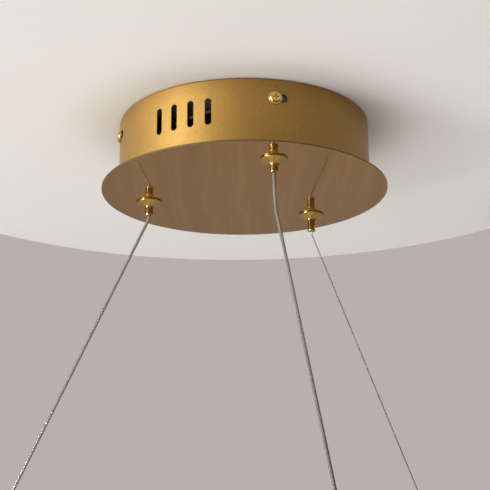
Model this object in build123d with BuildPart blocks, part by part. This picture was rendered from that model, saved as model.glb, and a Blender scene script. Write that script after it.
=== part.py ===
from build123d import *
import math
import os

# Ring chandelier hung from a round ceiling canopy by three gripped cables.
# Millimetres. Z is up. The origin is the centre of the face that meets the
# ceiling, so the whole object lies below z = 0. -Y is the front.
# Azimuths are in degrees from -Y towards +X.

# ------------------------------------------------------------ canopy
DRUM_R = 88.0             # outside radius of the drum
DRUM_WALL = 1.0
DRUM_TOP = -0.5           # shadow gap to the ceiling
DRUM_BOTTOM = -47.2
PLATE_R = 100.0
PLATE_T = 1.0
PLATE_Z = DRUM_BOTTOM - PLATE_T          # underside of the face plate, -48.2

SLOT_W = 4.5              # upright vent slots
SLOT_H = 18.3
SLOT_Z = -21.8
SLOT_FIRST = -39.1
SLOT_PITCH = 7.97
SLOT_COUNT = 4

SCREW_AZ = 13.35          # first of the four side screws
SCREW_Z = -13.1
SCREW_SLOT_H = 5.9
SCREW_SLOT_RUN = 5.35     # travel of the level slot beside each screw

# ------------------------------------------------------------ grippers
GRIP_R = 70.5             # pitch radius
GRIP_AZ = {"front": 15.8, "right": 135.8, "left": -104.2}
GRIP_TIP = {"front": 9.6, "right": 13.0, "left": 10.5}   # nozzle end below the plate
COLLAR_R = 9.15
COLLAR_CONE = 27.0        # slope of the cone, degrees
COLLAR_H = 4.8
STEM_R = 5.0
STEM_TOP = -28.0
PLUNGER_R = 2.8
BORE_R = 2.87
CABLE_R = {"front": 1.1, "right": 0.45, "left": 1.1}
BALL_R = {"front": 1.02, "right": 1.34, "left": 1.02}
BALL_Z = -41.0
CAP_Z = -31.0

# ------------------------------------------------------------ bracket frame
BRACKET_T = 1.5
BRACKET_REACH = 86.4
ARM_W = 20.0
CEILING_PCD = 150.0
CEILING_HOLE_R = 2.75
ENTRY_XY = (4.0, 31.0)    # supply entry, in the bracket's own frame
ENTRY_R = 4.0
LEAD_Z = -10.0            # height at which the leads cross the driver's cover

# ------------------------------------------------------------ ring
RING_X, RING_Y = 6.5, 0.0  # centre of the hung ring
RING_TURN = -3.16          # its turn against the grippers
RING_R = 290.0             # middle of the section
RING_W = 20.0
RING_TOP = -474.0
RING_H = 30.0
RING_WALL = 1.5
CORNER_Z = -459.1          # where each cable turns upright above its stud
CABLE_END = -468.0


# ============================================================ helpers
def polar(az, r, z=0.0):
    a = math.radians(az)
    return (r * math.sin(a), -r * math.cos(a), z)


def turned(points, x=0.0, y=0.0):
    """A part turned about the upright axis through x, y from a half profile."""
    with BuildPart() as p:
        with BuildSketch(Plane(origin=(x, y, 0), x_dir=(1, 0, 0), z_dir=(0, -1, 0))):
            with BuildLine():
                Polyline(*points, close=True)
            make_face()
        revolve(axis=Axis((x, y, 0), (0, 0, 1)))
    return p


def bend_radii(points, share=0.45):
    """The largest arc at each corner that its two runs leave room for."""
    out = []
    for a, b, c in zip(points, points[1:], points[2:]):
        u = Vector(*b) - Vector(*a)
        v = Vector(*c) - Vector(*b)
        turn = math.radians(u.get_angle(v))
        out.append(share * min(u.length, v.length) / math.tan(turn / 2))
    return out


def tube(points, r, radii=None):
    """Round wire of radius r along straight runs joined by arcs."""
    radii = radii or bend_radii(points)
    with BuildPart() as p:
        with BuildLine() as path:
            FilletPolyline(*points, radius=radii)
        start = path.line @ 0
        with BuildSketch(Plane(origin=start, z_dir=path.line % 0)):
            Circle(r)
        sweep(path=path.line)
    length = sum(e.length for e in path.edges())
    print("tube r %.2f length %.1f volume %.4f arcs %s" % (
        r, length, p.part.volume / (math.pi * r * r * length), [round(x, 1) for x in radii]))
    return p


def radial(az, r, z):
    """A plane on the drum wall: x along the wall, y up, z straight out."""
    a = math.radians(az)
    return Plane(origin=polar(az, r, z), x_dir=(math.cos(a), math.sin(a), 0),
                 z_dir=(math.sin(a), -math.cos(a), 0))


c0, s0 = math.cos(math.radians(SCREW_AZ)), math.sin(math.radians(SCREW_AZ))
BRK = Plane(origin=(0, 0, 0), x_dir=(c0, s0, 0), z_dir=(0, 0, 1))


def brk(x, y, z=0.0):
    """A point of the bracket's frame in the object's frame."""
    return (x * c0 - y * s0, x * s0 + y * c0, z)


def to_brk(x, y):
    return (x * c0 + y * s0, -x * s0 + y * c0)


G = {k: polar(az, GRIP_R) for k, az in GRIP_AZ.items()}
TIP = {k: PLATE_Z - t for k, t in GRIP_TIP.items()}


def stud_xy(key):
    x, y, _ = polar(GRIP_AZ[key] + RING_TURN, RING_R)
    return (x + RING_X, y + RING_Y)


S = {k: stud_xy(k) for k in GRIP_AZ}
KEYS = ["front", "right", "left"]
SCREWS_AZ = [SCREW_AZ + 90 * i for i in range(4)]
made = {}

# ============================================================ canopy drum
with BuildPart() as canopy_drum:
    with BuildSketch(Plane.XY.offset(DRUM_BOTTOM)):
        Circle(DRUM_R)
    extrude(amount=DRUM_TOP - DRUM_BOTTOM)
    fillet(canopy_drum.edges().group_by(Axis.Z)[0], 0.6)
    with BuildSketch(Plane.XY.offset(DRUM_BOTTOM + DRUM_WALL)):
        Circle(DRUM_R - DRUM_WALL)
    extrude(amount=60, mode=Mode.SUBTRACT)
    # holes for the gripper stems
    with BuildSketch(Plane.XY.offset(DRUM_BOTTOM - 1)):
        with Locations(*[G[k][:2] for k in KEYS]):
            Circle(STEM_R + 0.2)
    extrude(amount=3, mode=Mode.SUBTRACT)
    # vent slots, one group at the front left and one opposite
    for group in (0, 180):
        for i in range(SLOT_COUNT):
            with BuildSketch(radial(SLOT_FIRST + SLOT_PITCH * i + group, DRUM_R, SLOT_Z)):
                SlotOverall(SLOT_H, SLOT_W, rotation=90)
            extrude(amount=3, both=True, mode=Mode.SUBTRACT)
    # level slots for the side screws
    for az in SCREWS_AZ:
        with BuildSketch(radial(az, DRUM_R, SCREW_Z)):
            with Locations((SCREW_SLOT_RUN / 2, 0)):
                SlotCenterToCenter(SCREW_SLOT_RUN, SCREW_SLOT_H)
        extrude(amount=3, both=True, mode=Mode.SUBTRACT)
made["canopy_drum"] = canopy_drum

# ============================================================ face plate
with BuildPart() as face_plate:
    with BuildSketch(Plane.XY.offset(PLATE_Z)):
        Circle(PLATE_R)
        with Locations(*[G[k][:2] for k in KEYS]):
            Circle(STEM_R + 0.2, mode=Mode.SUBTRACT)
    extrude(amount=PLATE_T)
made["face_plate"] = face_plate

# ============================================================ ceiling bracket
with BuildPart() as ceiling_bracket:
    with BuildSketch(BRK.offset(-BRACKET_T)):
        Rectangle(2 * BRACKET_REACH, ARM_W)
        Rectangle(ARM_W, 2 * BRACKET_REACH)
        Circle(44)
    extrude(amount=BRACKET_T)
    with BuildSketch(BRK.offset(-21)):
        for sx, sy in ((1, 0), (-1, 0), (0, 1), (0, -1)):
            with Locations((sx * (BRACKET_REACH - 0.75), sy * (BRACKET_REACH - 0.75))):
                Rectangle(BRACKET_T if sx else ARM_W, ARM_W if sx else BRACKET_T)
    extrude(amount=21)
    # outside of each bend
    fillet(ceiling_bracket.edges().filter_by(
        lambda e: abs(e.center().Z) < 0.01 and math.hypot(e.center().X, e.center().Y) > 86
        and abs(e.length - ARM_W) < 0.1), 1.8)
    with BuildSketch(BRK.offset(-5)):
        with PolarLocations(CEILING_PCD / 2, 4):
            Circle(CEILING_HOLE_R)
        with Locations(ENTRY_XY):
            Circle(6.5)
        with Locations((51, 0), (-51, 0)):
            Circle(1.5)
        with Locations((0, 54), (-22, 28)):
            Circle(1.6)
    extrude(amount=8, mode=Mode.SUBTRACT)
    for az in SCREWS_AZ:
        with BuildSketch(radial(az, BRACKET_REACH, SCREW_Z)):
            Circle(2.0)
        extrude(amount=3, both=True, mode=Mode.SUBTRACT)
made["ceiling_bracket"] = ceiling_bracket

# ============================================================ supply grommet
ex, ey, _ = brk(*ENTRY_XY)
supply_grommet = turned([
    (ENTRY_R, 0.0), (6.45, 0.0), (6.45, -1.5), (8.0, -1.5), (8.0, -2.6), (6.9, -3.6),
    (ENTRY_R, -3.6)], ex, ey)
made["supply_grommet"] = supply_grommet

# ============================================================ side screws
with BuildPart() as side_screws:
    for az in SCREWS_AZ:
        out = Vector(*polar(az, 1))
        along = Vector(-out.Y, out.X, 0)
        at = Vector(*polar(az, DRUM_R, SCREW_Z))
        with BuildSketch(Plane(origin=at, x_dir=out, z_dir=along)):
            with BuildLine():
                Polyline((-8.0, 0), (-8.0, 1.5), (-7.5, 1.98), (0.0, 1.98), (0.0, 4.45),
                         (0.15, 4.6), (0.6, 4.6), (0.8, 4.35), (0.85, 3.95), (1.5, 3.8),
                         (1.95, 3.4), (2.22, 2.6), (2.32, 1.3), (2.35, 0), close=True)
            make_face()
        revolve(axis=Axis(at, out))
        with BuildSketch(radial(az, DRUM_R + 2.6, SCREW_Z)):
            Rectangle(4.4, 0.95)
            Rectangle(0.95, 4.4)
        extrude(amount=-1.7, taper=8, mode=Mode.SUBTRACT)
made["side_screws"] = side_screws

# ============================================================ driver
with BuildPart() as driver_base:
    with BuildSketch(BRK.offset(-3.1)):
        RectangleRounded(92, 38, 3)
        RectangleRounded(113, 14, 3)
        with Locations((51, 0), (-51, 0)):
            Circle(1.7, mode=Mode.SUBTRACT)
    extrude(amount=1.6)
made["driver_base"] = driver_base

with BuildPart() as driver_cover:
    with BuildSketch(BRK.offset(-25.1)):
        RectangleRounded(92, 38, 3)
    extrude(amount=22)
    fillet(driver_cover.edges().group_by(Axis.Z)[0], 1.2)
    with BuildSketch(BRK.offset(-23.6)):
        RectangleRounded(89, 35, 1.6)
    extrude(amount=30, mode=Mode.SUBTRACT)
    # board posts
    with BuildSketch(BRK.offset(-24.0)):
        with GridLocations(70, 22, 2, 2):
            Circle(2.2)
    extrude(amount=4.0)
    # lead holes: three in the long side, one in the end
    for x in (28, 36, -30):
        with BuildSketch(Plane(origin=brk(x, 19, LEAD_Z), x_dir=(c0, s0, 0), z_dir=(-s0, c0, 0))):
            Circle(1.5)
        extrude(amount=3, both=True, mode=Mode.SUBTRACT)
    with BuildSketch(Plane(origin=brk(-46, -5, LEAD_Z), x_dir=(-s0, c0, 0), z_dir=(-c0, -s0, 0))):
        Circle(1.5)
    extrude(amount=3, both=True, mode=Mode.SUBTRACT)
made["driver_cover"] = driver_cover

with BuildPart() as driver_board:
    with BuildSketch(BRK.offset(-20)):
        Rectangle(84, 31)
    extrude(amount=1.6)
made["driver_board"] = driver_board

with BuildPart() as driver_transformer:
    with BuildSketch(BRK.offset(-18.4)):
        with Locations((2, -1)):
            RectangleRounded(21, 18, 1)
    extrude(amount=11)
    with BuildSketch(BRK.offset(-15.4)):
        with Locations((2, -1)):
            Rectangle(15, 23)
    extrude(amount=5)
made["driver_transformer"] = driver_transformer

with BuildPart() as driver_capacitors:
    for x, y, r, h in ((22, -6, 5.0, 12.0), (-22, -6, 4.0, 11.0), (-13, 8, 3.0, 9.0)):
        with BuildSketch(BRK.offset(-18.4)):
            with Locations((x, y)):
                Circle(r)
        extrude(amount=h)
    fillet(driver_capacitors.edges().group_by(Axis.Z)[-1], 0.5)
made["driver_capacitors"] = driver_capacitors

with BuildPart() as driver_screws:
    for x in (51, -51):
        with BuildSketch(BRK.offset(-3.1)):
            with Locations((x, 0)):
                Circle(1.45)
        extrude(amount=2.9)
        with BuildSketch(BRK.offset(-5.1)):
            with Locations((x, 0)):
                Circle(2.9)
        extrude(amount=2.0)
        with BuildSketch(BRK.offset(-5.2)):
            with Locations((x, 0)):
                Rectangle(3.0, 0.6)
                Rectangle(0.6, 3.0)
        extrude(amount=1.1, mode=Mode.SUBTRACT)
made["driver_screws"] = driver_screws

# ============================================================ terminal block
TB = (0.0, 54.0)
POLES = (-9.0, 0.0, 9.0)
with BuildPart() as terminal_body:
    with BuildSketch(BRK.offset(-16.0)):
        with Locations(TB):
            RectangleRounded(29, 20, 1.5)
    extrude(amount=14.5)
    # pole tunnels
    for px in POLES:
        with BuildSketch(Plane(origin=brk(px, TB[1], -10), x_dir=(c0, s0, 0), z_dir=(-s0, c0, 0))):
            Circle(2.4)
        extrude(amount=15, both=True, mode=Mode.SUBTRACT)
    # clamp screw wells, from below
    with BuildSketch(BRK.offset(-17)):
        for px in POLES:
            with Locations((px, TB[1] - 5), (px, TB[1] + 5)):
                Circle(1.6)
    extrude(amount=6, mode=Mode.SUBTRACT)
    # fixing hole between the poles
    with BuildSketch(BRK.offset(-17)):
        with Locations((4.5, TB[1]), (-4.5, TB[1])):
            Circle(1.2)
    extrude(amount=20, mode=Mode.SUBTRACT)
made["terminal_body"] = terminal_body

with BuildPart() as terminal_clamps:
    for px in POLES:
        with BuildSketch(Plane(origin=brk(px, TB[1], -10), x_dir=(c0, s0, 0), z_dir=(-s0, c0, 0))):
            Circle(2.35)
            Circle(1.25, mode=Mode.SUBTRACT)
        extrude(amount=7.5, both=True)
    with BuildSketch(BRK.offset(-13)):
        for px in POLES:
            with Locations((px, TB[1] - 5), (px, TB[1] + 5)):
                Circle(1.3)
    extrude(amount=2.9, mode=Mode.SUBTRACT)
made["terminal_clamps"] = terminal_clamps

with BuildPart() as terminal_screws:
    with BuildSketch(BRK.offset(-14.6)):
        for px in POLES:
            with Locations((px, TB[1] - 5), (px, TB[1] + 5)):
                Circle(1.25)
    extrude(amount=3.1)
    with BuildSketch(BRK.offset(-14.7)):
        for px in POLES:
            with Locations((px, TB[1] - 5), (px, TB[1] + 5)):
                Rectangle(2.6, 0.4)
    extrude(amount=0.6, mode=Mode.SUBTRACT)
made["terminal_screws"] = terminal_screws

with BuildPart() as terminal_rivets:
    with BuildSketch(BRK.offset(-16.0)):
        with Locations((4.5, TB[1]), (-4.5, TB[1])):
            Circle(1.15)
    extrude(amount=14.45)
    with BuildSketch(BRK.offset(-16.8)):
        with Locations((4.5, TB[1]), (-4.5, TB[1])):
            Circle(2.0)
    extrude(amount=0.8)
made["terminal_rivets"] = terminal_rivets

# ============================================================ earth
with BuildPart() as earth_screw:
    with BuildSketch(BRK.offset(-2.1)):
        with Locations((-22, 28)):
            Circle(1.55)
    extrude(amount=1.9)
    with BuildSketch(BRK.offset(-4.4)):
        with Locations((-22, 28)):
            Circle(3.4)
    extrude(amount=2.3)
    fillet(earth_screw.edges().group_by(Axis.Z)[0], 0.6)
    with BuildSketch(BRK.offset(-4.5)):
        with Locations((-22, 28)):
            Rectangle(4.0, 0.8)
            Rectangle(0.8, 4.0)
    extrude(amount=1.4, mode=Mode.SUBTRACT)
made["earth_screw"] = earth_screw

with BuildPart() as earth_tag:
    with BuildSketch(BRK.offset(-2.1)):
        with Locations((-22, 28)):
            Circle(3.9)
        with Locations((-17.5, 28)):
            Rectangle(6, 3)
        with Locations((-22, 28)):
            Circle(1.65, mode=Mode.SUBTRACT)
    extrude(amount=0.6)
    with BuildSketch(Plane(origin=brk(-17.6, 28, -3.3), x_dir=(-s0, c0, 0), z_dir=(c0, s0, 0))):
        Circle(1.3)
        Circle(0.95, mode=Mode.SUBTRACT)
    extrude(amount=4.2)
made["earth_tag"] = earth_tag


def lead(points, r=0.9, radii=None):
    return tube([brk(*p) for p in points], r, radii)


made["earth_lead"] = lead([(-17.4, 28, -3.3), (-8, 28, -3.3), (-9, 40, -10), (-9, 49, -10)])
made["live_lead"] = lead([(9, 49, -10), (9, 38, -10.3), (22, 31.5, -11), (36, 29, LEAD_Z),
                          (36, 11.6, LEAD_Z), (36, 11.6, -18.35)])
made["neutral_lead"] = lead([(0, 49, -10), (0, 39, -10.5), (9, 30, -14), (20, 27, -13),
                             (28, 26, LEAD_Z), (28, 11.6, LEAD_Z), (28, 11.6, -18.35)])

# ============================================================ gripper bodies
for k in KEYS:
    x, y, _ = G[k]
    zp = PLATE_Z
    with BuildPart() as body:
        with BuildSketch(Plane(origin=(x, y, 0), x_dir=(1, 0, 0), z_dir=(0, -1, 0))):
            with BuildLine():
                neck = Polyline((BORE_R, zp - COLLAR_H), (3.3, zp - COLLAR_H), (3.45, zp - COLLAR_H + 0.2))
                # hollow flare, cone, and a rounded rim
                flare = JernArc(start=neck @ 1, tangent=(0, 1), radius=1.2, arc_size=COLLAR_CONE - 90)
                run = (COLLAR_R - 0.5 - (flare @ 1).X) / math.cos(math.radians(COLLAR_CONE))
                cone = Line(flare @ 1, flare @ 1 + (flare % 1) * run)
                rim = JernArc(start=cone @ 1, tangent=cone % 1, radius=0.91, arc_size=90 - COLLAR_CONE)
                edge = (rim @ 1).X
                Polyline(rim @ 1, (edge, zp - 0.12), (edge - 0.12, zp), (STEM_R, zp),
                         (STEM_R, STEM_TOP), (4.0, STEM_TOP), (4.0, -34.0), (BORE_R, -44.0),
                         (BORE_R, zp - COLLAR_H))
            make_face()
        revolve(axis=Axis((x, y, 0), (0, 0, 1)))
    if k == "front":
        print("collar rim", rim @ 1, "cone", cone @ 0, cone @ 1)
    made["gripper_body_" + k] = body

with BuildPart() as gripper_washers:
    with BuildSketch(Plane.XY.offset(DRUM_BOTTOM + DRUM_WALL)):
        with Locations(*[G[k][:2] for k in KEYS]):
            Circle(8.5)
            Circle(5.15, mode=Mode.SUBTRACT)
    extrude(amount=1.0)
made["gripper_washers"] = gripper_washers

with BuildPart() as gripper_nuts:
    with BuildSketch(Plane.XY.offset(DRUM_BOTTOM + DRUM_WALL + 1)):
        with Locations(*[G[k][:2] for k in KEYS]):
            RegularPolygon(7.0, 6, major_radius=False)
            Circle(5.02, mode=Mode.SUBTRACT)
    extrude(amount=4.0)
    chamfer(gripper_nuts.edges().group_by(Axis.Z)[-1].filter_by(GeomType.CIRCLE), 0.3)
made["gripper_nuts"] = gripper_nuts

with BuildPart() as gripper_caps:
    for k in KEYS:
        with BuildSketch(Plane.XY.offset(CAP_Z)):
            with Locations(G[k][:2]):
                Circle(3.98)
                Circle(CABLE_R[k] + 0.35, mode=Mode.SUBTRACT)
        extrude(amount=STEM_TOP - CAP_Z)
made["gripper_caps"] = gripper_caps

# ============================================================ release plungers, balls, springs
for k in KEYS:
    x, y, _ = G[k]
    b = CABLE_R[k] + 0.25
    zt = TIP[k]
    with BuildPart() as plunger:
        with BuildSketch(Plane(origin=(x, y, 0), x_dir=(1, 0, 0), z_dir=(0, -1, 0))):
            with BuildLine():
                Polyline((b + 0.35, zt), (2.75, zt), (3.0, zt + 0.25), (3.05, zt + 0.6),
                         (2.95, zt + 0.95), (PLUNGER_R, zt + 1.3), (PLUNGER_R, -44.5),
                         (2.6, -44.2), (2.6, -38.0), (3.3, -37.8), (3.3, -37.0), (b, -37.0),
                         (b, zt + 0.35), close=True)
            make_face()
        revolve(axis=Axis((x, y, 0), (0, 0, 1)))
        for i in range(3):
            a = math.radians(120 * i + 30)
            with BuildSketch(Plane(origin=(x, y, BALL_Z), x_dir=(0, 0, 1),
                                   z_dir=(math.cos(a), math.sin(a), 0))):
                Circle(BALL_R[k] + 0.08)
            extrude(amount=4, mode=Mode.SUBTRACT)
    made["release_plunger_" + k] = plunger
    reach = CABLE_R[k] + BALL_R[k] + 0.02
    with BuildPart() as balls:
        with Locations(*[(x + reach * math.cos(math.radians(120 * i + 30)),
                          y + reach * math.sin(math.radians(120 * i + 30)), BALL_Z)
                         for i in range(3)]):
            Sphere(BALL_R[k])
    made["gripper_balls_" + k] = balls
    with BuildPart() as spring:
        with BuildLine() as coil:
            Helix(pitch=1.25, height=5.0, radius=3.1, center=(x, y, -36.6))
        with BuildSketch(Plane(origin=coil.line @ 0, z_dir=coil.line % 0)):
            Circle(0.3)
        sweep(path=coil.line, is_frenet=True)
    made["release_spring_" + k] = spring

# ============================================================ cables inside the canopy
# Each runs up through its gripper and turns level above it.
fx, fy = to_brk(*G["front"][:2])
lx, ly = to_brk(*G["left"][:2])
rx, ry = to_brk(*G["right"][:2])

front_run = [(fx, fy, TIP["front"]), (fx, fy, -13), (-29, -71.5, -15.5), (-52, -54, -18),
             (-62, -36, -20)]
left_run = [(lx, ly, TIP["left"]), (lx, ly, -12), (-45, 41.5, -14)]
right_run = [(rx, ry, TIP["right"]), (rx, ry, -13.5), (49, 55, -16), (31, 65, -18)]
made["cable_tail_front"] = lead(front_run, CABLE_R["front"])
made["cable_tail_left"] = lead(left_run, CABLE_R["left"])
made["wire_tail_right"] = lead(right_run, CABLE_R["right"])


def sleeve(start, direction, length, outer, inner):
    """A tube crimped on the end of a run, overlapping it by a third."""
    d = Vector(*direction).normalized()
    o = Vector(*start) - d * (length / 3)
    with BuildPart() as p:
        with BuildSketch(Plane(origin=o, z_dir=d)):
            Circle(outer)
            Circle(inner, mode=Mode.SUBTRACT)
        extrude(amount=length)
    return p, tuple(o + d * length)


def direction(points):
    a, b = [Vector(*brk(*p)) for p in points[-2:]]
    return tuple((b - a).normalized())


front_crimp, front_far = sleeve(brk(*front_run[-1]), direction(front_run), 14, 1.9, 1.15)
left_crimp, left_far = sleeve(brk(*left_run[-1]), direction(left_run), 14, 1.9, 1.15)
with BuildPart() as crimp_sleeves:
    add(front_crimp.part)
    add(left_crimp.part)
made["crimp_sleeves"] = crimp_sleeves
wire_stop, _ = sleeve(brk(*right_run[-1]), direction(right_run), 6, 1.4, 0.5)
made["wire_stop"] = wire_stop


def lead_from(start, d, points, r=0.9):
    """An output lead that starts inside a crimp and leaves along it."""
    d = Vector(*d)
    a = Vector(*start) - d * 4.0
    b = Vector(*start) + d * 4.0
    return tube([tuple(a), tuple(b)] + [brk(*p) for p in points], r)


made["output_lead_positive"] = lead_from(front_far, direction(front_run), [
    (-67.5, -11.5, -17.5), (-58, -5, LEAD_Z), (-40.5, -5, LEAD_Z), (-40.5, -5, -18.35)])
made["output_lead_negative"] = lead_from(left_far, direction(left_run), [
    (-24, 41, -13.5), (-30, 28, LEAD_Z), (-30, 11.6, LEAD_Z), (-30, 11.6, -18.35)])

# ============================================================ hung cables
hung_names = {"front": "hung_cable_front", "left": "hung_cable_left", "right": "hung_wire_right"}
for k in KEYS:
    x, y, _ = G[k]
    qx, qy = S[k]
    drop = 20.9 if k == "front" else 2.0
    take = 20.0 if k == "front" else 1.9
    pts = [(x, y, TIP[k]), (x, y, TIP[k] - drop), (qx, qy, CORNER_Z), (qx, qy, CABLE_END)]
    u = Vector(*pts[2]) - Vector(*pts[1])
    half = math.radians(u.get_angle(Vector(0, 0, -1))) / 2
    rr = [take / math.tan(half), 2.4 / math.tan(half)]
    print(k, "hung length", round(u.length + drop, 1), "lean", round(math.degrees(half * 2), 1))
    made[hung_names[k]] = tube(pts, CABLE_R[k], rr)

# ============================================================ ring profile
RC = (RING_X, RING_Y)
RI, RO = RING_R - RING_W / 2, RING_R + RING_W / 2
ZT, ZB = RING_TOP, RING_TOP - RING_H
ring_axis = Axis((RING_X, RING_Y, 0), (0, 0, 1))
ring_plane = Plane(origin=(RING_X, RING_Y, 0), x_dir=(1, 0, 0), z_dir=(0, -1, 0))
SEAM = 180.0


def ring_section(az):
    """The upright half plane through the ring's axis at azimuth az."""
    a = math.radians(az)
    return Plane(origin=(RING_X, RING_Y, 0), x_dir=(math.sin(a), -math.cos(a), 0),
                 z_dir=(-math.cos(a), -math.sin(a), 0))


def ring_out(az, r, z):
    """A plane on the ring's wall: x along it, y up, z straight out."""
    p = radial(az, r, z)
    return Plane(origin=(p.origin.X + RING_X, p.origin.Y + RING_Y, z), x_dir=p.x_dir, z_dir=p.z_dir)


SPLICE_AZ = (SEAM - 2.6, SEAM + 2.6)
SPLICE_Z = ZT - 15.0
HOLE_AZ = {k: math.degrees(13.0 / RING_R) for k in KEYS}

with BuildPart() as ring_profile:
    with BuildSketch(ring_plane):
        with BuildLine():
            Polyline(
                (RI, ZB), (RI + RING_WALL, ZB), (RI + RING_WALL, ZT - 9.5), (RO - RING_WALL, ZT - 9.5),
                (RO - RING_WALL, ZB), (RO, ZB), (RO, ZT - 0.6), (RO - 0.6, ZT), (RING_R + 3.2, ZT),
                (RING_R + 3.2, ZT - 2), (RO - RING_WALL, ZT - 2), (RO - RING_WALL, ZT - 8),
                (RI + RING_WALL, ZT - 8), (RI + RING_WALL, ZT - 2), (RING_R - 3.2, ZT - 2),
                (RING_R - 3.2, ZT), (RI + 0.6, ZT), (RI, ZT - 0.6), close=True)
        make_face()
    revolve(axis=ring_axis)
    # butt seam at the back
    with BuildSketch(Plane.XY.offset(ZB - 1)):
        with Locations((RING_X, RING_Y + RING_R)):
            Rectangle(0.4, RING_W + 4)
    extrude(amount=RING_H + 2, mode=Mode.SUBTRACT)
    # countersunk splice screw holes, through both walls
    for az in SPLICE_AZ:
        for r, side in ((RO, 1), (RI, -1)):
            pl = ring_out(az, r, SPLICE_Z)
            n = pl.z_dir * side
            with BuildSketch(Plane(origin=pl.origin, x_dir=n, z_dir=pl.x_dir)):
                with BuildLine():
                    Polyline((0.5, 0), (0.5, 2.95), (0, 2.85), (-1.3, 1.55), (-2.2, 1.55), (-2.2, 0), close=True)
                make_face()
            revolve(axis=Axis(pl.origin, n), mode=Mode.SUBTRACT)
    # wire holes in the middle web beside the two live studs
    for k in ("front", "left"):
        px, py, _ = polar(GRIP_AZ[k] + RING_TURN + HOLE_AZ[k], RING_R)
        with BuildSketch(Plane.XY.offset(ZT - 10)):
            with Locations((px + RING_X, py + RING_Y)):
                Circle(1.2)
        extrude(amount=3, mode=Mode.SUBTRACT)
made["ring_profile"] = ring_profile

# ============================================================ ring diffuser
with BuildPart() as ring_diffuser:
    with BuildSketch(ring_plane):
        with BuildLine():
            Polyline(
                (RI + 1.6, ZB), (RO - 1.6, ZB), (RO - 1.6, ZB + 8), (RO - 2.8, ZB + 8),
                (RO - 2.8, ZB + 2), (RI + 2.8, ZB + 2), (RI + 2.8, ZB + 8), (RI + 1.6, ZB + 8), close=True)
        make_face()
    revolve(axis=ring_axis)
    with BuildSketch(Plane.XY.offset(ZB - 1)):
        with Locations((RING_X, RING_Y + RING_R)):
            Rectangle(0.3, RING_W + 4)
    extrude(amount=12, mode=Mode.SUBTRACT)
made["ring_diffuser"] = ring_diffuser

# ============================================================ light strip and its chips
with BuildPart() as led_strip:
    with BuildSketch(ring_section(SEAM + 2.5)):
        with Locations((RING_R, ZT - 9.625)):
            Rectangle(10, 0.25)
    revolve(axis=ring_axis, revolution_arc=355)
made["led_strip"] = led_strip

with BuildPart() as led_chips:
    with BuildSketch(Plane(origin=(RING_X, RING_Y, ZT - 10.45))):
        with PolarLocations(RING_R, 116, start_angle=94.5, angular_range=352):
            Rectangle(2.8, 3.5)
    extrude(amount=0.7)
made["led_chips"] = led_chips

# ============================================================ seam splice
with BuildPart() as splice_plates:
    for r0, r1 in ((RO - 3.0, RO - RING_WALL), (RI + RING_WALL, RI + 3.0)):
        with BuildSketch(ring_section(SEAM - 5)):
            with Locations(((r0 + r1) / 2, SPLICE_Z)):
                Rectangle(r1 - r0 - 0.02, 8.5)
        revolve(axis=ring_axis, revolution_arc=10)
    for az in SPLICE_AZ:
        for r in (RO - 2.25, RI + 2.25):
            with BuildSketch(ring_out(az, r, SPLICE_Z)):
                Circle(1.5)
            extrude(amount=2, both=True, mode=Mode.SUBTRACT)
made["splice_plates"] = splice_plates

with BuildPart() as splice_screws:
    for az in SPLICE_AZ:
        for r, side in ((RO, 1), (RI, -1)):
            pl = ring_out(az, r, SPLICE_Z)
            n = pl.z_dir * side
            with BuildSketch(Plane(origin=pl.origin, x_dir=n, z_dir=pl.x_dir)):
                with BuildLine():
                    Polyline((-0.12, 0), (-0.12, 2.7), (-1.3, 1.45), (-4.2, 1.45), (-4.2, 0), close=True)
                make_face()
            revolve(axis=Axis(pl.origin, n))
            with BuildSketch(Plane(origin=pl.origin + n * 0.1, x_dir=pl.x_dir, z_dir=n)):
                RegularPolygon(1.0, 6)
            extrude(amount=-1.2, mode=Mode.SUBTRACT)
made["splice_screws"] = splice_screws

# ============================================================ studs on the ring
with BuildPart() as cable_studs:
    for k in KEYS:
        x, y = S[k]
        with BuildSketch(Plane(origin=(x, y, 0), x_dir=(1, 0, 0), z_dir=(0, -1, 0))):
            with BuildLine():
                Polyline((0, -481.2), (2.2, -481.2), (2.5, -480.9), (2.5, -473), (4.2, -473),
                         (4.5, -472.7), (4.5, -463), (4.0, -462.2), (3.4, -462), (2.3, -462),
                         (2.15, -462.3), (2.15, -472), (0, -472), close=True)
            make_face()
        revolve(axis=Axis((x, y, 0), (0, 0, 1)))
        out = Vector(*polar(GRIP_AZ[k] + RING_TURN, 1))
        with BuildSketch(Plane(origin=(x, y, -467.5), x_dir=(0, 0, 1), z_dir=out)):
            Circle(1.5)
        extrude(amount=6, mode=Mode.SUBTRACT)
made["cable_studs"] = cable_studs

with BuildPart() as stud_set_screws:
    for k in KEYS:
        x, y = S[k]
        out = Vector(*polar(GRIP_AZ[k] + RING_TURN, 1))
        o = Vector(x, y, -467.5)
        with BuildSketch(Plane(origin=o + out * 2.05, x_dir=(0, 0, 1), z_dir=out)):
            Circle(1.45)
        extrude(amount=2.2)
        with BuildSketch(Plane(origin=o + out * 4.3, x_dir=(0, 0, 1), z_dir=out)):
            RegularPolygon(0.85, 6)
        extrude(amount=-1.3, mode=Mode.SUBTRACT)
made["stud_set_screws"] = stud_set_screws

with BuildPart() as stud_bushes:
    for z0, h, r in ((-474.0, 1.0, 6.0), (-476.0, 2.0, 3.1)):
        with BuildSketch(Plane.XY.offset(z0)):
            with Locations(*[S[k] for k in KEYS]):
                Circle(r)
                Circle(2.55, mode=Mode.SUBTRACT)
        extrude(amount=h)
made["stud_bushes"] = stud_bushes

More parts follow.
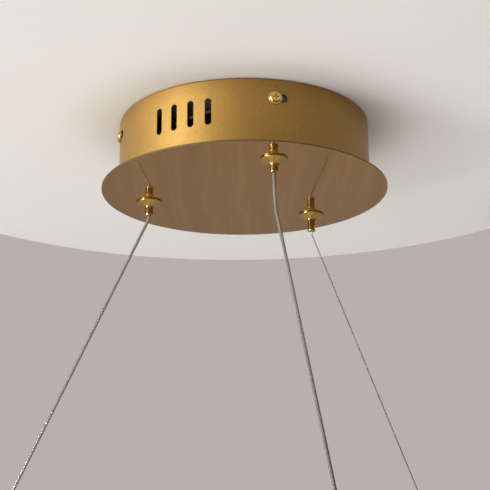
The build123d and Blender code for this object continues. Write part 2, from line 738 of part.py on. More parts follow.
with BuildPart() as stud_slide_nuts:
    for k in KEYS:
        x, y = S[k]
        a = math.radians(GRIP_AZ[k] + RING_TURN)
        with BuildSketch(Plane(origin=(x, y, -479.8), x_dir=(math.cos(a), math.sin(a), 0), z_dir=(0, 0, 1))):
            RectangleRounded(13, 14.5, 1)
            Circle(2.55, mode=Mode.SUBTRACT)
        extrude(amount=3.75)
made["stud_slide_nuts"] = stud_slide_nuts

with BuildPart() as cable_ferrules:
    for k in KEYS:
        with BuildSketch(Plane.XY.offset(-471.5)):
            with Locations(S[k]):
                Circle(2.0)
                Circle(CABLE_R[k] + 0.06, mode=Mode.SUBTRACT)
        extrude(amount=8.5)
made["cable_ferrules"] = cable_ferrules

with BuildPart() as solder_tags:
    for k in ("front", "left"):
        x, y = S[k]
        a = math.radians(GRIP_AZ[k] + RING_TURN)
        with BuildSketch(Plane(origin=(x, y, -480.3), x_dir=(math.cos(a), math.sin(a), 0), z_dir=(0, 0, 1))):
            Circle(4.2)
            with Locations((6, 0)):
                Rectangle(7, 3)
            Circle(2.55, mode=Mode.SUBTRACT)
        extrude(amount=0.45)
made["solder_tags"] = solder_tags

for k, name in (("front", "feed_wire_positive"), ("left", "feed_wire_negative")):
    az = GRIP_AZ[k] + RING_TURN
    pts = []
    for along, z in ((6.0, -480.78), (13.0, -480.78), (13.0, -483.48)):
        px, py, _ = polar(az + math.degrees(along / RING_R), RING_R)
        pts.append((px + RING_X, py + RING_Y, z))
    made[name] = tube(pts, 0.45, [1.2])

# ============================================================ write the parts
os.makedirs("parts", exist_ok=True)
for old in os.listdir("parts"):
    if old.endswith(".step") and old[:-5] not in made:
        os.remove(os.path.join("parts", old))
for label, built in made.items():
    built.part.label = label
    export_step(built.part, "parts/" + label + ".step")
print(len(made), "nodes")
print("gripper points", {k: tuple(round(v, 3) for v in G[k][:2]) for k in KEYS}, TIP)
print("stud points", {k: tuple(round(v, 3) for v in S[k]) for k in KEYS})
print("supply entry", [round(v, 3) for v in brk(*ENTRY_XY)])
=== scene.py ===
import math

import bmesh
import bpy
import numpy as np
from mathutils import Matrix, Vector


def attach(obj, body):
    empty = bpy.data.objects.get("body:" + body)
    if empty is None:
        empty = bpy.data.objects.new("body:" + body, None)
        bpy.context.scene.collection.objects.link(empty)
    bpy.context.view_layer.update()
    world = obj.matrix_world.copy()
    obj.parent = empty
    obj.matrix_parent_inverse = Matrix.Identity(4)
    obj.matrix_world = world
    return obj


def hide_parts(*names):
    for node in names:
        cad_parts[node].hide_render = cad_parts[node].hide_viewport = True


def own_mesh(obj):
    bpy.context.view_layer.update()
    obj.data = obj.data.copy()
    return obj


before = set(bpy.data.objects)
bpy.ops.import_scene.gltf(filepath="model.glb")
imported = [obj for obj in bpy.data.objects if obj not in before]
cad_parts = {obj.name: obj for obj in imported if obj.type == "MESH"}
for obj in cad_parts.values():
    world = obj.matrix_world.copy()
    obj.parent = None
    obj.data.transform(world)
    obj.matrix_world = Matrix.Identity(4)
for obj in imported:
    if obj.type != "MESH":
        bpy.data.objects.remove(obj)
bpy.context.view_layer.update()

scene = bpy.context.scene
scene.view_settings.view_transform = "Standard"
scene.view_settings.look = "None"
MM = 0.001

# ---------------------------------------------------------------- the camera
PITCH, ROLL, FOCAL = 16.605, -0.59, 1230.0
p, q = math.radians(PITCH), math.radians(ROLL)
ahead = Vector((0, math.cos(p), math.sin(p)))
right = Vector((1, 0, 0))
up = right.cross(ahead)
side = right * math.cos(q) + up * math.sin(q)
top = up * math.cos(q) - right * math.sin(q)
cam_data = bpy.data.cameras.new("camera")
cam = bpy.data.objects.new("camera", cam_data)
scene.collection.objects.link(cam)
cam_data.sensor_width = 36.0
cam_data.lens = 36.0 * FOCAL / 490.0
cam_data.clip_start, cam_data.clip_end = 0.02, 60.0
cam.matrix_world = Matrix((
    (side.x, top.x, -ahead.x, -0.0001),
    (side.y, top.y, -ahead.y, -0.8183),
    (side.z, top.z, -ahead.z, -0.3304),
    (0, 0, 0, 1)))
scene.camera = cam


# ---------------------------------------------------------------- node helpers
def new_material(name):
    m = bpy.data.materials.new(name)
    m.use_nodes = True
    t = m.node_tree
    t.nodes.clear()
    out = t.nodes.new("ShaderNodeOutputMaterial")
    b = t.nodes.new("ShaderNodeBsdfPrincipled")
    t.links.new(b.outputs[0], out.inputs[0])
    return m, t, b


def coords(t, scale=(1, 1, 1), rotate=(0, 0, 0)):
    """Object coordinates, in metres, scaled."""
    c = t.nodes.new("ShaderNodeTexCoord")
    m = t.nodes.new("ShaderNodeMapping")
    m.inputs["Scale"].default_value = scale
    m.inputs["Rotation"].default_value = rotate
    t.links.new(c.outputs["Object"], m.inputs[0])
    return m.outputs[0]


def noise(t, vector, scale, detail=2.0, rough=0.5):
    n = t.nodes.new("ShaderNodeTexNoise")
    n.inputs["Scale"].default_value = scale
    n.inputs["Detail"].default_value = detail
    n.inputs["Roughness"].default_value = rough
    t.links.new(vector, n.inputs["Vector"])
    return n.outputs[0]


def spread(t, value, low, high, a=0.3, b=0.7):
    """A noise value taken to the range low..high."""
    r = t.nodes.new("ShaderNodeMapRange")
    r.inputs["From Min"].default_value = a
    r.inputs["From Max"].default_value = b
    r.inputs["To Min"].default_value = low
    r.inputs["To Max"].default_value = high
    t.links.new(value, r.inputs["Value"])
    return r.outputs[0]


def ramp(t, value, *stops):
    r = t.nodes.new("ShaderNodeValToRGB")
    e = r.color_ramp.elements
    while len(e) < len(stops):
        e.new(0.5)
    for el, (pos, col) in zip(e, stops):
        el.position = pos
        el.color = (*col, 1)
    t.links.new(value, r.inputs[0])
    return r.outputs[0]


def math_node(t, kind, a, b):
    n = t.nodes.new("ShaderNodeMath")
    n.operation = kind
    for i, v in enumerate((a, b)):
        if isinstance(v, (int, float)):
            n.inputs[i].default_value = v
        else:
            t.links.new(v, n.inputs[i])
    return n.outputs[0]


def bump(t, b, height, distance, strength=1.0):
    n = t.nodes.new("ShaderNodeBump")
    n.inputs["Strength"].default_value = strength
    n.inputs["Distance"].default_value = distance
    t.links.new(height, n.inputs["Height"])
    t.links.new(n.outputs[0], b.inputs["Normal"])


def plain(name, colour, rough=0.5, metal=0.0, grain=900.0, tint=0.06, depth=0.00002, vary=0.08,
          coat=0.0, stretch=(1, 1, 1)):
    """A moulded, cast or drawn surface: its colour and roughness vary a little, with a fine grain."""
    m, t, b = new_material(name)
    v = coords(t, stretch)
    big = noise(t, v, grain * 0.06, 3)
    fine = noise(t, v, grain, 2)
    lo = tuple(max(0, c * (1 - tint)) for c in colour)
    hi = tuple(min(1, c * (1 + tint)) for c in colour)
    t.links.new(ramp(t, big, (0.3, lo), (0.7, hi)), b.inputs["Base Color"])
    t.links.new(spread(t, fine, max(0.03, rough - vary), rough + vary), b.inputs["Roughness"])
    b.inputs["Metallic"].default_value = metal
    b.inputs["Coat Weight"].default_value = coat
    bump(t, b, fine, depth)
    return m


# ---------------------------------------------------------------- metals
def tinted(t, a, b):
    mix = t.nodes.new("ShaderNodeMix")
    mix.data_type = "RGBA"
    mix.blend_type = "MULTIPLY"
    mix.inputs["Factor"].default_value = 1.0
    t.links.new(a, mix.inputs[6])
    t.links.new(b, mix.inputs[7])
    return mix.outputs[2]


def drum_gold():
    """Satin gold lacquer over fine shot-blasted steel, with an even grain of a fifth of a millimetre.
    The inner face of the drum is painted near-black: painted shade, for the dark inside seen through the slots."""
    m, t, b = new_material("satin_gold_drum")
    v = coords(t)
    cloud = noise(t, v, 38.0, 3)
    grain = noise(t, v, 2600.0, 3, 0.7)
    base = ramp(t, cloud, (0.3, (0.388, 0.211, 0.040)), (0.7, (0.428, 0.235, 0.046)))
    sand = noise(t, v, 1050.0, 2, 0.6)
    speck = ramp(t, math_node(t, "ADD", math_node(t, "MULTIPLY", grain, 0.45), math_node(t, "MULTIPLY", sand, 0.55)),
                 (0.34, (0.80, 0.80, 0.80)), (0.66, (1.18, 1.18, 1.18)))
    axes = t.nodes.new("ShaderNodeSeparateXYZ")
    t.links.new(v, axes.inputs[0])
    out = math_node(t, "SQRT", math_node(t, "ADD", math_node(t, "MULTIPLY", axes.outputs[0], axes.outputs[0]),
                                         math_node(t, "MULTIPLY", axes.outputs[1], axes.outputs[1])), 0)
    # near-black inside the drum's inner radius: painted shade
    wall = ramp(t, spread(t, out, 0, 1, 0.0871, 0.0877), (0.0, (0.03, 0.025, 0.02)), (1.0, (1, 1, 1)))
    t.links.new(tinted(t, tinted(t, base, speck), wall), b.inputs["Base Color"])
    t.links.new(spread(t, grain, 0.53, 0.63), b.inputs["Roughness"])
    b.inputs["Metallic"].default_value = 1.0
    b.inputs["Coat Weight"].default_value = 0.65
    b.inputs["Coat Roughness"].default_value = 0.5
    bump(t, b, sand, 0.00005, 0.5)
    return m


def facing_down(t):
    """1 on level faces, 0 on upright ones."""
    c = t.nodes.new("ShaderNodeTexCoord")
    n = t.nodes.new("ShaderNodeSeparateXYZ")
    t.links.new(c.outputs["Normal"], n.inputs[0])
    return spread(t, math_node(t, "ABSOLUTE", n.outputs[2], 0), 0, 1, 0.3, 0.7)


def plate_gold():
    """Brushed and lacquered gold sheet: long fine lines along Y, and a near-mirror gloss. The cut edge is
    dull, and painted dark: painted shade, for the dark line along the plate's rim."""
    m, t, b = new_material("brushed_gold_plate")
    lines = noise(t, coords(t, (420.0, 5.0, 420.0)), 1.0, 4, 0.62)
    wander = noise(t, coords(t, (14.0, 14.0, 14.0)), 1.0, 2, 0.5)
    bent = t.nodes.new("ShaderNodeVectorMath")
    bent.operation = "ADD"
    shift = t.nodes.new("ShaderNodeCombineXYZ")
    t.links.new(math_node(t, "MULTIPLY", wander, 1.9), shift.inputs[0])
    t.links.new(coords(t, (95.0, 3.0, 95.0)), bent.inputs[0])
    t.links.new(shift.outputs[0], bent.inputs[1])
    broad = noise(t, bent.outputs[0], 1.0, 3, 0.55)
    both = math_node(t, "ADD", math_node(t, "MULTIPLY", lines, 0.35), math_node(t, "MULTIPLY", broad, 0.65))
    sheet = ramp(t, both, (0.36, (0.60, 0.334, 0.125)), (0.5, (0.66, 0.371, 0.145)),
                 (0.64, (0.73, 0.418, 0.170)))
    level = facing_down(t)
    mix = t.nodes.new("ShaderNodeMix")
    mix.data_type = "RGBA"
    t.links.new(level, mix.inputs["Factor"])
    # dark brown on the upright cut edge: painted shade
    mix.inputs[6].default_value = (0.20, 0.115, 0.035, 1)
    t.links.new(sheet, mix.inputs[7])
    t.links.new(mix.outputs[2], b.inputs["Base Color"])
    gloss = spread(t, lines, 0.06, 0.11)
    rough = t.nodes.new("ShaderNodeMix")
    rough.data_type = "FLOAT"
    t.links.new(level, rough.inputs["Factor"])
    rough.inputs[2].default_value = 0.5
    t.links.new(gloss, rough.inputs[3])
    t.links.new(rough.outputs[0], b.inputs["Roughness"])
    b.inputs["Metallic"].default_value = 1.0
    b.inputs["Anisotropic"].default_value = 0.4
    bump(t, b, lines, 0.000002, 0.3)
    return m


def polished_brass():
    """Turned brass with a clear lacquer: fine tool marks round each part and a few dull patches."""
    m, t, b = new_material("polished_brass")
    v = coords(t)
    patch = noise(t, v, 260.0, 3)
    rings = noise(t, coords(t, (60.0, 60.0, 5200.0)), 1.0, 2)
    t.links.new(ramp(t, patch, (0.3, (0.70, 0.462, 0.135)), (0.7, (0.81, 0.545, 0.175))), b.inputs["Base Color"])
    t.links.new(spread(t, patch, 0.13, 0.24), b.inputs["Roughness"])
    b.inputs["Metallic"].default_value = 1.0
    bump(t, b, rings, 0.000004, 0.4)
    return m


def zinc_steel():
    m, t, b = new_material("zinc_steel")
    spangle = t.nodes.new("ShaderNodeTexVoronoi")
    spangle.inputs["Scale"].default_value = 260.0
    t.links.new(coords(t), spangle.inputs["Vector"])
    t.links.new(ramp(t, spangle.outputs["Color"], (0.2, (0.50, 0.51, 0.53)), (0.8, (0.66, 0.67, 0.69))),
                b.inputs["Base Color"])
    t.links.new(spread(t, spangle.outputs["Distance"], 0.30, 0.46, 0.0, 0.6), b.inputs["Roughness"])
    b.inputs["Metallic"].default_value = 1.0
    bump(t, b, noise(t, coords(t), 1400.0, 2), 0.00002, 0.4)
    return m


def clear_sheath(name="clear_sheath", colour=(0.47, 0.448, 0.415)):
    """Clear vinyl of 0.35 mm wall over the steel strands."""
    m, t, b = new_material(name)
    v = coords(t)
    b.inputs["Base Color"].default_value = (*colour, 1)
    b.inputs["Transmission Weight"].default_value = 0.55
    b.inputs["IOR"].default_value = 1.46
    t.links.new(spread(t, noise(t, v, 900.0, 2), 0.05, 0.16), b.inputs["Roughness"])
    bump(t, b, noise(t, v, 350.0, 2), 0.00002, 0.3)
    return m


def opal():
    m, t, b = new_material("opal_diffuser")
    v = coords(t)
    t.links.new(ramp(t, noise(t, v, 60.0, 3), (0.3, (0.86, 0.85, 0.82)), (0.7, (0.90, 0.89, 0.87))),
                b.inputs["Base Color"])
    t.links.new(spread(t, noise(t, v, 1500.0, 2), 0.34, 0.44), b.inputs["Roughness"])
    b.inputs["Subsurface Weight"].default_value = 0.25
    b.inputs["Subsurface Radius"].default_value = (0.004, 0.004, 0.0035)
    bump(t, b, noise(t, v, 2200.0, 2), 0.00001, 0.4)
    return m


def circuit(name, mask, trace):
    """A printed board: copper tracks show under the coloured mask."""
    m, t, b = new_material(name)
    brick = t.nodes.new("ShaderNodeTexBrick")
    brick.inputs["Scale"].default_value = 160.0
    brick.inputs["Color1"].default_value = (*mask, 1)
    brick.inputs["Color2"].default_value = (*[c * 1.25 for c in mask], 1)
    brick.inputs["Mortar"].default_value = (*trace, 1)
    brick.inputs["Mortar Size"].default_value = 0.03
    t.links.new(coords(t), brick.inputs["Vector"])
    t.links.new(brick.outputs["Color"], b.inputs["Base Color"])
    t.links.new(spread(t, noise(t, coords(t), 500.0, 2), 0.25, 0.38), b.inputs["Roughness"])
    bump(t, b, brick.outputs["Fac"], 0.00003, 0.5)
    return m


def winding():
    """Yellow tape round the coil, in overlapping turns."""
    m, t, b = new_material("transformer_tape")
    w = t.nodes.new("ShaderNodeTexWave")
    w.inputs["Scale"].default_value = 60.0
    w.inputs["Distortion"].default_value = 0.6
    t.links.new(coords(t, (1, 0.2, 1)), w.inputs["Vector"])
    t.links.new(ramp(t, w.outputs["Fac"], (0.1, (0.55, 0.42, 0.06)), (0.6, (0.70, 0.55, 0.09))),
                b.inputs["Base Color"])
    t.links.new(spread(t, w.outputs["Fac"], 0.35, 0.5, 0, 1), b.inputs["Roughness"])
    bump(t, b, w.outputs["Fac"], 0.00008, 0.5)
    return m


DRUM, PLATE, BRASS, ZINC = drum_gold(), plate_gold(), polished_brass(), zinc_steel()
RING_GOLD = plain("ring_satin_gold", (0.62, 0.41, 0.15), 0.36, 1.0, 1800.0, 0.05, 0.000008, 0.06)
STRAND = plain("steel_strand", (0.36, 0.34, 0.32), 0.34, 1.0, 1500.0, 0.16, 0.000005, 0.08)
BARE = plain("bare_strand", (0.42, 0.39, 0.36), 0.36, 1.0, 1500.0, 0.16, 0.000005, 0.08)
TIN = plain("tinned_copper", (0.68, 0.66, 0.63), 0.32, 1.0, 1100.0, 0.08, 0.00001)
BRASS_DULL = plain("brass_insert", (0.62, 0.44, 0.18), 0.34, 1.0, 1100.0, 0.10, 0.00001)
SHEATH, OPAL = clear_sheath(), opal()
# darker copies of the sheath and strands for the cable ends inside the canopy: painted shade
SHEATH_SHADED = clear_sheath("clear_sheath_painted_shade", (0.16, 0.15, 0.145))
STRAND_SHADED = plain("steel_strand_painted_shade", (0.16, 0.155, 0.15), 0.45, 1.0, 1500.0, 0.16, 0.000005, 0.08)
NODE_MATERIAL = {
    "canopy_drum": DRUM, "face_plate": PLATE, "ring_profile": RING_GOLD, "cable_studs": BRASS,
    "ring_diffuser": OPAL,
    # black driver cover: painted shade, to keep the inside of the drum dark through the slots
    "driver_cover": plain("driver_plastic", (0.022, 0.021, 0.020), 0.42, 0, 1300.0, 0.12, 0.00005),
    "driver_board": circuit("driver_board_green", (0.03, 0.15, 0.06), (0.10, 0.30, 0.10)),
    "driver_transformer": winding(),
    "driver_capacitors": plain("capacitor_sleeve", (0.02, 0.025, 0.05), 0.25, 0, 500.0, 0.1, 0.00001),
    "terminal_body": plain("white_nylon", (0.72, 0.71, 0.66), 0.5, 0, 1100.0, 0.04, 0.00004),
    "supply_grommet": plain("black_rubber", (0.02, 0.02, 0.02), 0.72, 0, 900.0, 0.2, 0.00006),
    "led_strip": circuit("strip_board_white", (0.70, 0.70, 0.68), (0.50, 0.38, 0.16)),
    "led_chips": plain("led_phosphor", (0.80, 0.62, 0.20), 0.3, 0, 900.0, 0.05, 0.00001),
}
NYLON = NODE_MATERIAL["terminal_body"]
for n in ("stud_bushes", "stud_slide_nuts"):
    NODE_MATERIAL[n] = NYLON
for k in ("front", "left", "right"):
    NODE_MATERIAL["gripper_body_" + k] = BRASS
    NODE_MATERIAL["release_plunger_" + k] = BRASS
NODE_MATERIAL["side_screws"] = BRASS
for n in ("terminal_clamps", "gripper_caps"):
    NODE_MATERIAL[n] = BRASS_DULL
for n in ("earth_tag", "crimp_sleeves", "wire_stop", "cable_ferrules", "solder_tags"):
    NODE_MATERIAL[n] = TIN
# black bracket: painted shade, to keep the inside of the drum dark
NODE_MATERIAL["ceiling_bracket"] = plain("bracket_black_painted_shade", (0.10, 0.10, 0.105), 0.45, 1.0, 1100.0, 0.12, 0.00002)
for name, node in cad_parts.items():
    chosen = NODE_MATERIAL.get(name, ZINC)
    if not node.material_slots:
        node.data.materials.append(chosen)
    for s in node.material_slots:
        s.material = chosen


# ---------------------------------------------------------------- cords
def nurbs(name, points):
    """The route as one smooth curve: the points are the control points, in millimetres."""
    c = bpy.data.curves.new(name, "CURVE")
    c.dimensions = "3D"
    s = c.splines.new("NURBS")
    s.points.add(len(points) - 1)
    for pt, co in zip(s.points, points):
        pt.co = (co[0] * MM, co[1] * MM, co[2] * MM, 1)
    s.order_u = 3
    s.use_endpoint_u = True
    s.resolution_u = 24
    o = bpy.data.objects.new(name, c)
    scene.collection.objects.link(o)
    return o


def line_of(curve):
    """The points of the curve's own line, in metres."""
    bpy.context.view_layer.update()
    deps = bpy.context.evaluated_depsgraph_get()
    mesh = bpy.data.meshes.new_from_object(curve.evaluated_get(deps))
    pts = [v.co.copy() for v in mesh.vertices]
    bpy.data.meshes.remove(mesh)
    clean = [pts[0]]
    for v in pts[1:]:
        if (v - clean[-1]).length > 1e-6:
            clean.append(v)
    return clean


def even(line, step):
    """The line again, with its points an even step apart."""
    run = [0.0]
    for a, b in zip(line, line[1:]):
        run.append(run[-1] + (b - a).length)
    count = max(2, int(round(run[-1] / step)) + 1)
    co = np.array(line, float)
    s = np.linspace(0, run[-1], count)
    return [Vector(v) for v in np.stack([np.interp(s, run, co[:, i]) for i in range(3)], 1)]


def frames(line):
    """A direction and two sideways vectors at each point, with no twist between points."""
    out = []
    d = (line[1] - line[0]).normalized()
    x = d.orthogonal().normalized()
    for i in range(len(line)):
        a, b = line[max(i - 1, 0)], line[min(i + 1, len(line) - 1)]
        n = (b - a).normalized()
        x = d.rotation_difference(n) @ x
        x = (x - n * x.dot(n)).normalized()
        d = n
        out.append((n, x, n.cross(x)))
    return out


def tube_mesh(name, lines, radius, sides=12):
    """One mesh of closed round tubes, one along each line."""
    bm = bmesh.new()
    for line in lines:
        rings = []
        for at, (n, x, y) in zip(line, frames(line)):
            rings.append([bm.verts.new(at + (x * math.cos(2 * math.pi * i / sides) +
                                             y * math.sin(2 * math.pi * i / sides)) * radius)
                          for i in range(sides)])
        for a, b in zip(rings, rings[1:]):
            for i in range(sides):
                j = (i + 1) % sides
                bm.faces.new((a[i], a[j], b[j], b[i])).smooth = True
        bm.faces.new(list(reversed(rings[0])))
        bm.faces.new(rings[-1])
    bm.normal_update()
    mesh = bpy.data.meshes.new(name)
    bm.to_mesh(mesh)
    bm.free()
    o = bpy.data.objects.new(name, mesh)
    scene.collection.objects.link(o)
    return o


def strands(line, radius, count, lay, step=0.0007):
    """Lines of wires laid in a helix about a line, and one down the middle."""
    pts = even(line, step)
    fr = frames(pts)
    run = 0.0
    out = [[] for _ in range(count)]
    for i, (at, (n, x, y)) in enumerate(zip(pts, fr)):
        if i:
            run += (at - pts[i - 1]).length
        for k in range(count):
            a = 2 * math.pi * (k / count + run / lay)
            out[k].append(at + (x * math.cos(a) + y * math.sin(a)) * radius)
    return out, pts


# Points of each route, as in the CAD source, in millimetres. The hung cables have one point more
# on each side of their long straight stretch, as far from the corner as the next point is.
def between(a, b, distance):
    a, b = Vector(a), Vector(b)
    return tuple(a + (b - a).normalized() * distance)


GRIP = {"front": (19.196, -67.836), "right": (49.150, 50.542), "left": (-68.346, 17.294)}
STUD = {"front": (69.959, -282.972), "right": (219.831, 196.443), "left": (-270.290, 86.529)}
TIP = {"front": -57.8, "right": -61.2, "left": -58.7}
FIRST = {"front": 20.9, "right": 2.0, "left": 2.0}
CORNER, END, MOUTH = -459.1, -468.0, -462.5
HUNG = {"front": "hung_cable_front", "left": "hung_cable_left", "right": "hung_wire_right"}

for k in ("front", "left", "right"):
    gx, gy = GRIP[k]
    sx, sy = STUD[k]
    a, v = (gx, gy, TIP[k]), (gx, gy, TIP[k] - FIRST[k])
    c, e = (sx, sy, CORNER), (sx, sy, END)
    route = [a, v, between(v, c, FIRST[k]), between(c, v, 8.9), c, e]
    curve = nurbs("route_" + k, route)
    line = line_of(curve)
    bpy.data.objects.remove(curve)
    if k == "right":
        lines, mid = strands(line, 0.00030, 6, 0.0085)
        cable = tube_mesh("hung_wire_right_strands", lines + [even(line, 0.002)], 0.00015, 6)
        cable.data.materials.append(BARE)
    else:
        path_line = even(line, 0.0015)
        cable = tube_mesh(HUNG[k] + "_sheath", [path_line], 0.0011, 20)
        cable.data.materials.append(SHEATH)
        lines, mid = strands(line, 0.00048, 6, 0.012)
        core = tube_mesh(HUNG[k] + "_core", lines + [even(line, 0.002)], 0.00024, 8)
        core.data.materials.append(STRAND)
        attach(core, "canopy")
        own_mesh(core)
    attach(cable, "canopy")
    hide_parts(HUNG[k])
    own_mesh(cable)

# ---- the leads and cable ends inside the canopy, and the feed wires in the ring
TURN = math.radians(13.35)


def brk(x, y, z):
    """A point of the bracket's frame in the object's frame."""
    return (x * math.cos(TURN) - y * math.sin(TURN), x * math.sin(TURN) + y * math.cos(TURN), z)


def to_brk(x, y):
    return (x * math.cos(TURN) + y * math.sin(TURN), -x * math.sin(TURN) + y * math.cos(TURN))


fx, fy = to_brk(*GRIP["front"])
lx, ly = to_brk(*GRIP["left"])
rx, ry = to_brk(*GRIP["right"])
front_run = [(fx, fy, TIP["front"]), (fx, fy, -26), (fx, fy, -13), (-29, -71.5, -15.5), (-52, -54, -18),
             (-62, -36, -20)]
left_run = [(lx, ly, TIP["left"]), (lx, ly, -24), (lx, ly, -12), (-45, 41.5, -14)]
right_run = [(rx, ry, TIP["right"]), (rx, ry, -18), (rx, ry, -13.5), (49, 55, -16), (31, 65, -18)]


def beyond(run, length):
    """The two points of an output lead that starts inside the crimp on the end of a run."""
    a, b = Vector(brk(*run[-2])), Vector(brk(*run[-1]))
    d = (b - a).normalized()
    far = b + d * (length * 2 / 3)
    return [tuple(far - d * 4), tuple(far + d * 4)]


INSULATION = {
    "earth_lead": ((0.14, 0.38, 0.05), "green_insulation"),
    "live_lead": ((0.12, 0.05, 0.025), "brown_insulation"),
    "neutral_lead": ((0.03, 0.12, 0.42), "blue_insulation"),
    "output_lead_positive": ((0.46, 0.02, 0.02), "red_insulation"),
    "output_lead_negative": ((0.02, 0.02, 0.02), "black_insulation"),
    "feed_wire_positive": ((0.46, 0.02, 0.02), "red_insulation"),
    "feed_wire_negative": ((0.02, 0.02, 0.02), "black_insulation"),
}
ROUTES = {
    "earth_lead": [brk(*c) for c in ((-17.4, 28, -3.3), (-8, 28, -3.3), (-9, 40, -10), (-9, 49, -10))],
    "live_lead": [brk(*c) for c in ((9, 49, -10), (9, 38, -10.3), (22, 31.5, -11), (36, 29, -10),
                                    (36, 11.6, -10), (36, 11.6, -18.35))],
    "neutral_lead": [brk(*c) for c in ((0, 49, -10), (0, 39, -10.5), (9, 30, -14), (20, 27, -13),
                                       (28, 26, -10), (28, 11.6, -10), (28, 11.6, -18.35))],
    "output_lead_positive": beyond(front_run, 14) + [
        brk(*c) for c in ((-67.5, -11.5, -17.5), (-58, -5, -10), (-40.5, -5, -10), (-40.5, -5, -18.35))],
    "output_lead_negative": beyond(left_run, 14) + [
        brk(*c) for c in ((-24, 41, -13.5), (-30, 28, -10), (-30, 11.6, -10), (-30, 11.6, -18.35))],
}
for k, name in (("front", "feed_wire_positive"), ("left", "feed_wire_negative")):
    sx, sy = STUD[k][0] - 6.5, STUD[k][1]
    pts = []
    for along, z in ((6.0, -480.78), (13.0, -480.78), (13.0, -483.48)):
        a = along / 290.0
        pts.append((sx * math.cos(a) - sy * math.sin(a) + 6.5, sx * math.sin(a) + sy * math.cos(a), z))
    ROUTES[name] = pts

for name, route in ROUTES.items():
    colour, slot_name = INSULATION[name]
    curve = nurbs("route_" + name, route)
    line = line_of(curve)
    bpy.data.objects.remove(curve)
    wire = tube_mesh(name + "_wire", [even(line, 0.0008)], 0.00045 if name.startswith("feed") else 0.0009, 14)
    wire.data.materials.append(plain(name + "_pvc", colour, 0.38, 0, 900.0, 0.08, 0.00003))
    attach(wire, "ring" if name.startswith("feed") else "canopy")
    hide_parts(name)

for name, run, thick in (("cable_tail_front", front_run, True), ("cable_tail_left", left_run, True),
                         ("wire_tail_right", right_run, False)):
    curve = nurbs("route_" + name, [brk(*c) for c in run])
    line = line_of(curve)
    bpy.data.objects.remove(curve)
    if thick:
        tail = tube_mesh(name + "_sheath", [even(line, 0.0012)], 0.0011, 20)
        tail.data.materials.append(SHEATH_SHADED)
        lines, _ = strands(line, 0.00048, 6, 0.012)
        core = tube_mesh(name + "_core", lines + [even(line, 0.002)], 0.00024, 8)
        core.data.materials.append(STRAND_SHADED)
        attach(core, "canopy")
    else:
        lines, _ = strands(line, 0.00030, 6, 0.0085)
        tail = tube_mesh(name + "_strands", lines + [even(line, 0.002)], 0.00015, 6)
        tail.data.materials.append(BARE)
    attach(tail, "canopy")
    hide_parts(name)

# each release spring again, as a copy with its own mesh, fixed to the canopy body
for k in ("front", "left", "right"):
    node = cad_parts["release_spring_" + k]
    spring = bpy.data.objects.new("release_spring_%s_coil" % k, node.data.copy())
    scene.collection.objects.link(spring)
    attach(spring, "canopy")
    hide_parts("release_spring_" + k)
    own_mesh(spring)


# ---------------------------------------------------------------- stage
def stage_material(name, colour, rough, scale):
    m, t, b = new_material(name)
    v = coords(t)
    lo, hi = tuple(c * 0.985 for c in colour), tuple(min(1, c * 1.015) for c in colour)
    t.links.new(ramp(t, noise(t, v, scale, 3), (0.3, lo), (0.7, hi)), b.inputs["Base Color"])
    b.inputs["Roughness"].default_value = rough
    b.inputs["Specular IOR Level"].default_value = 0.1
    return m, t, b


CEILING_R, CEILING_Y = 0.307, 0.035
bm = bmesh.new()
bmesh.ops.create_circle(bm, cap_ends=True, segments=256, radius=CEILING_R)
for f in bm.faces:
    if f.normal.z > 0:
        f.normal_flip()
mesh = bpy.data.meshes.new("ceiling_board")
bm.to_mesh(mesh)
bm.free()
ceiling = bpy.data.objects.new("ceiling_board", mesh)
ceiling.location = (0, CEILING_Y, 0.0004)
scene.collection.objects.link(ceiling)
m, t, b = stage_material("stage_ceiling", (0.87, 0.862, 0.845), 0.9, 3.0)
# painted on its lower face only
back = t.nodes.new("ShaderNodeNewGeometry")
clear = t.nodes.new("ShaderNodeBsdfTransparent")
two = t.nodes.new("ShaderNodeMixShader")
t.links.new(back.outputs["Backfacing"], two.inputs[0])
t.links.new(b.outputs[0], two.inputs[1])
t.links.new(clear.outputs[0], two.inputs[2])
t.links.new(two.outputs[0], t.nodes["Material Output"].inputs[0])
mesh.materials.append(m)

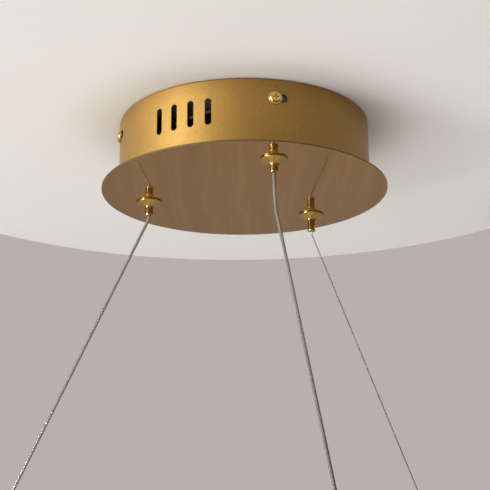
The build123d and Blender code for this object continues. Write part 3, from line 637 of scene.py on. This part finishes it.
bm = bmesh.new()
bmesh.ops.create_grid(bm, x_segments=8, y_segments=8, size=9.0)
mesh = bpy.data.meshes.new("floor")
bm.to_mesh(mesh)
bm.free()
floor = bpy.data.objects.new("floor", mesh)
floor.location = (0, 0, -1.0)
scene.collection.objects.link(floor)
mesh.materials.append(stage_material("stage_floor", (0.74, 0.71, 0.69), 0.8, 1.2)[0])

# ---------------------------------------------------------------- light
world = bpy.data.worlds.new("world")
world.use_nodes = True
t = world.node_tree
bg = t.nodes["Background"]
# pale beyond the object, darker behind the camera and to the right
c = t.nodes.new("ShaderNodeTexCoord")
axes = t.nodes.new("ShaderNodeSeparateXYZ")
t.links.new(c.outputs["Generated"], axes.inputs[0])
beyond_y = spread(t, axes.outputs[1], 0, 1, 0.2, 0.85)
aside_x = spread(t, axes.outputs[0], 1, 0.3, 0.21, 0.6)
t.links.new(ramp(t, math_node(t, "MULTIPLY", beyond_y, aside_x), (0.0, (0.085, 0.077, 0.073)),
                 (1.0, (0.479, 0.434, 0.418))), bg.inputs["Color"])
bg.inputs["Strength"].default_value = 1.0
scene.world = world


def area(name, az, elevation, distance, size, power, colour=(1, 1, 1), target=(0, 0, -0.03), size_y=None):
    """A soft box: az from -Y towards +X, elevation above the level of the target."""
    a, e = math.radians(az), math.radians(elevation)
    d = Vector((math.sin(a) * math.cos(e), -math.cos(a) * math.cos(e), math.sin(e)))
    data = bpy.data.lights.new(name, "AREA")
    data.energy = power
    data.color = colour
    data.size = size
    if size_y:
        data.shape = "RECTANGLE"
        data.size_y = size_y
    o = bpy.data.objects.new(name, data)
    o.visible_camera = False
    o.location = Vector(target) + d * distance
    o.rotation_euler = d.to_track_quat("Z", "Y").to_euler()
    scene.collection.objects.link(o)
    return o


area("key", -60, -27.7, 1.92, 0.75, 6.2, (1.0, 0.975, 0.95), size_y=0.17)
area("key_low", -56, -1, 1.9, 0.5, 41.0, (0.915, 1.0, 0.985), size_y=0.3)
area("wash", -60, -88, 0.82, 1.2, 4.35, (1.0, 0.975, 0.95), (0, 0, 0)).visible_glossy = False
area("floor_light", 180, 78, 3.6, 2.2, 10.5, (1.0, 0.965, 0.90), (0, 2.3, -1.0)).data.spread = math.radians(100)
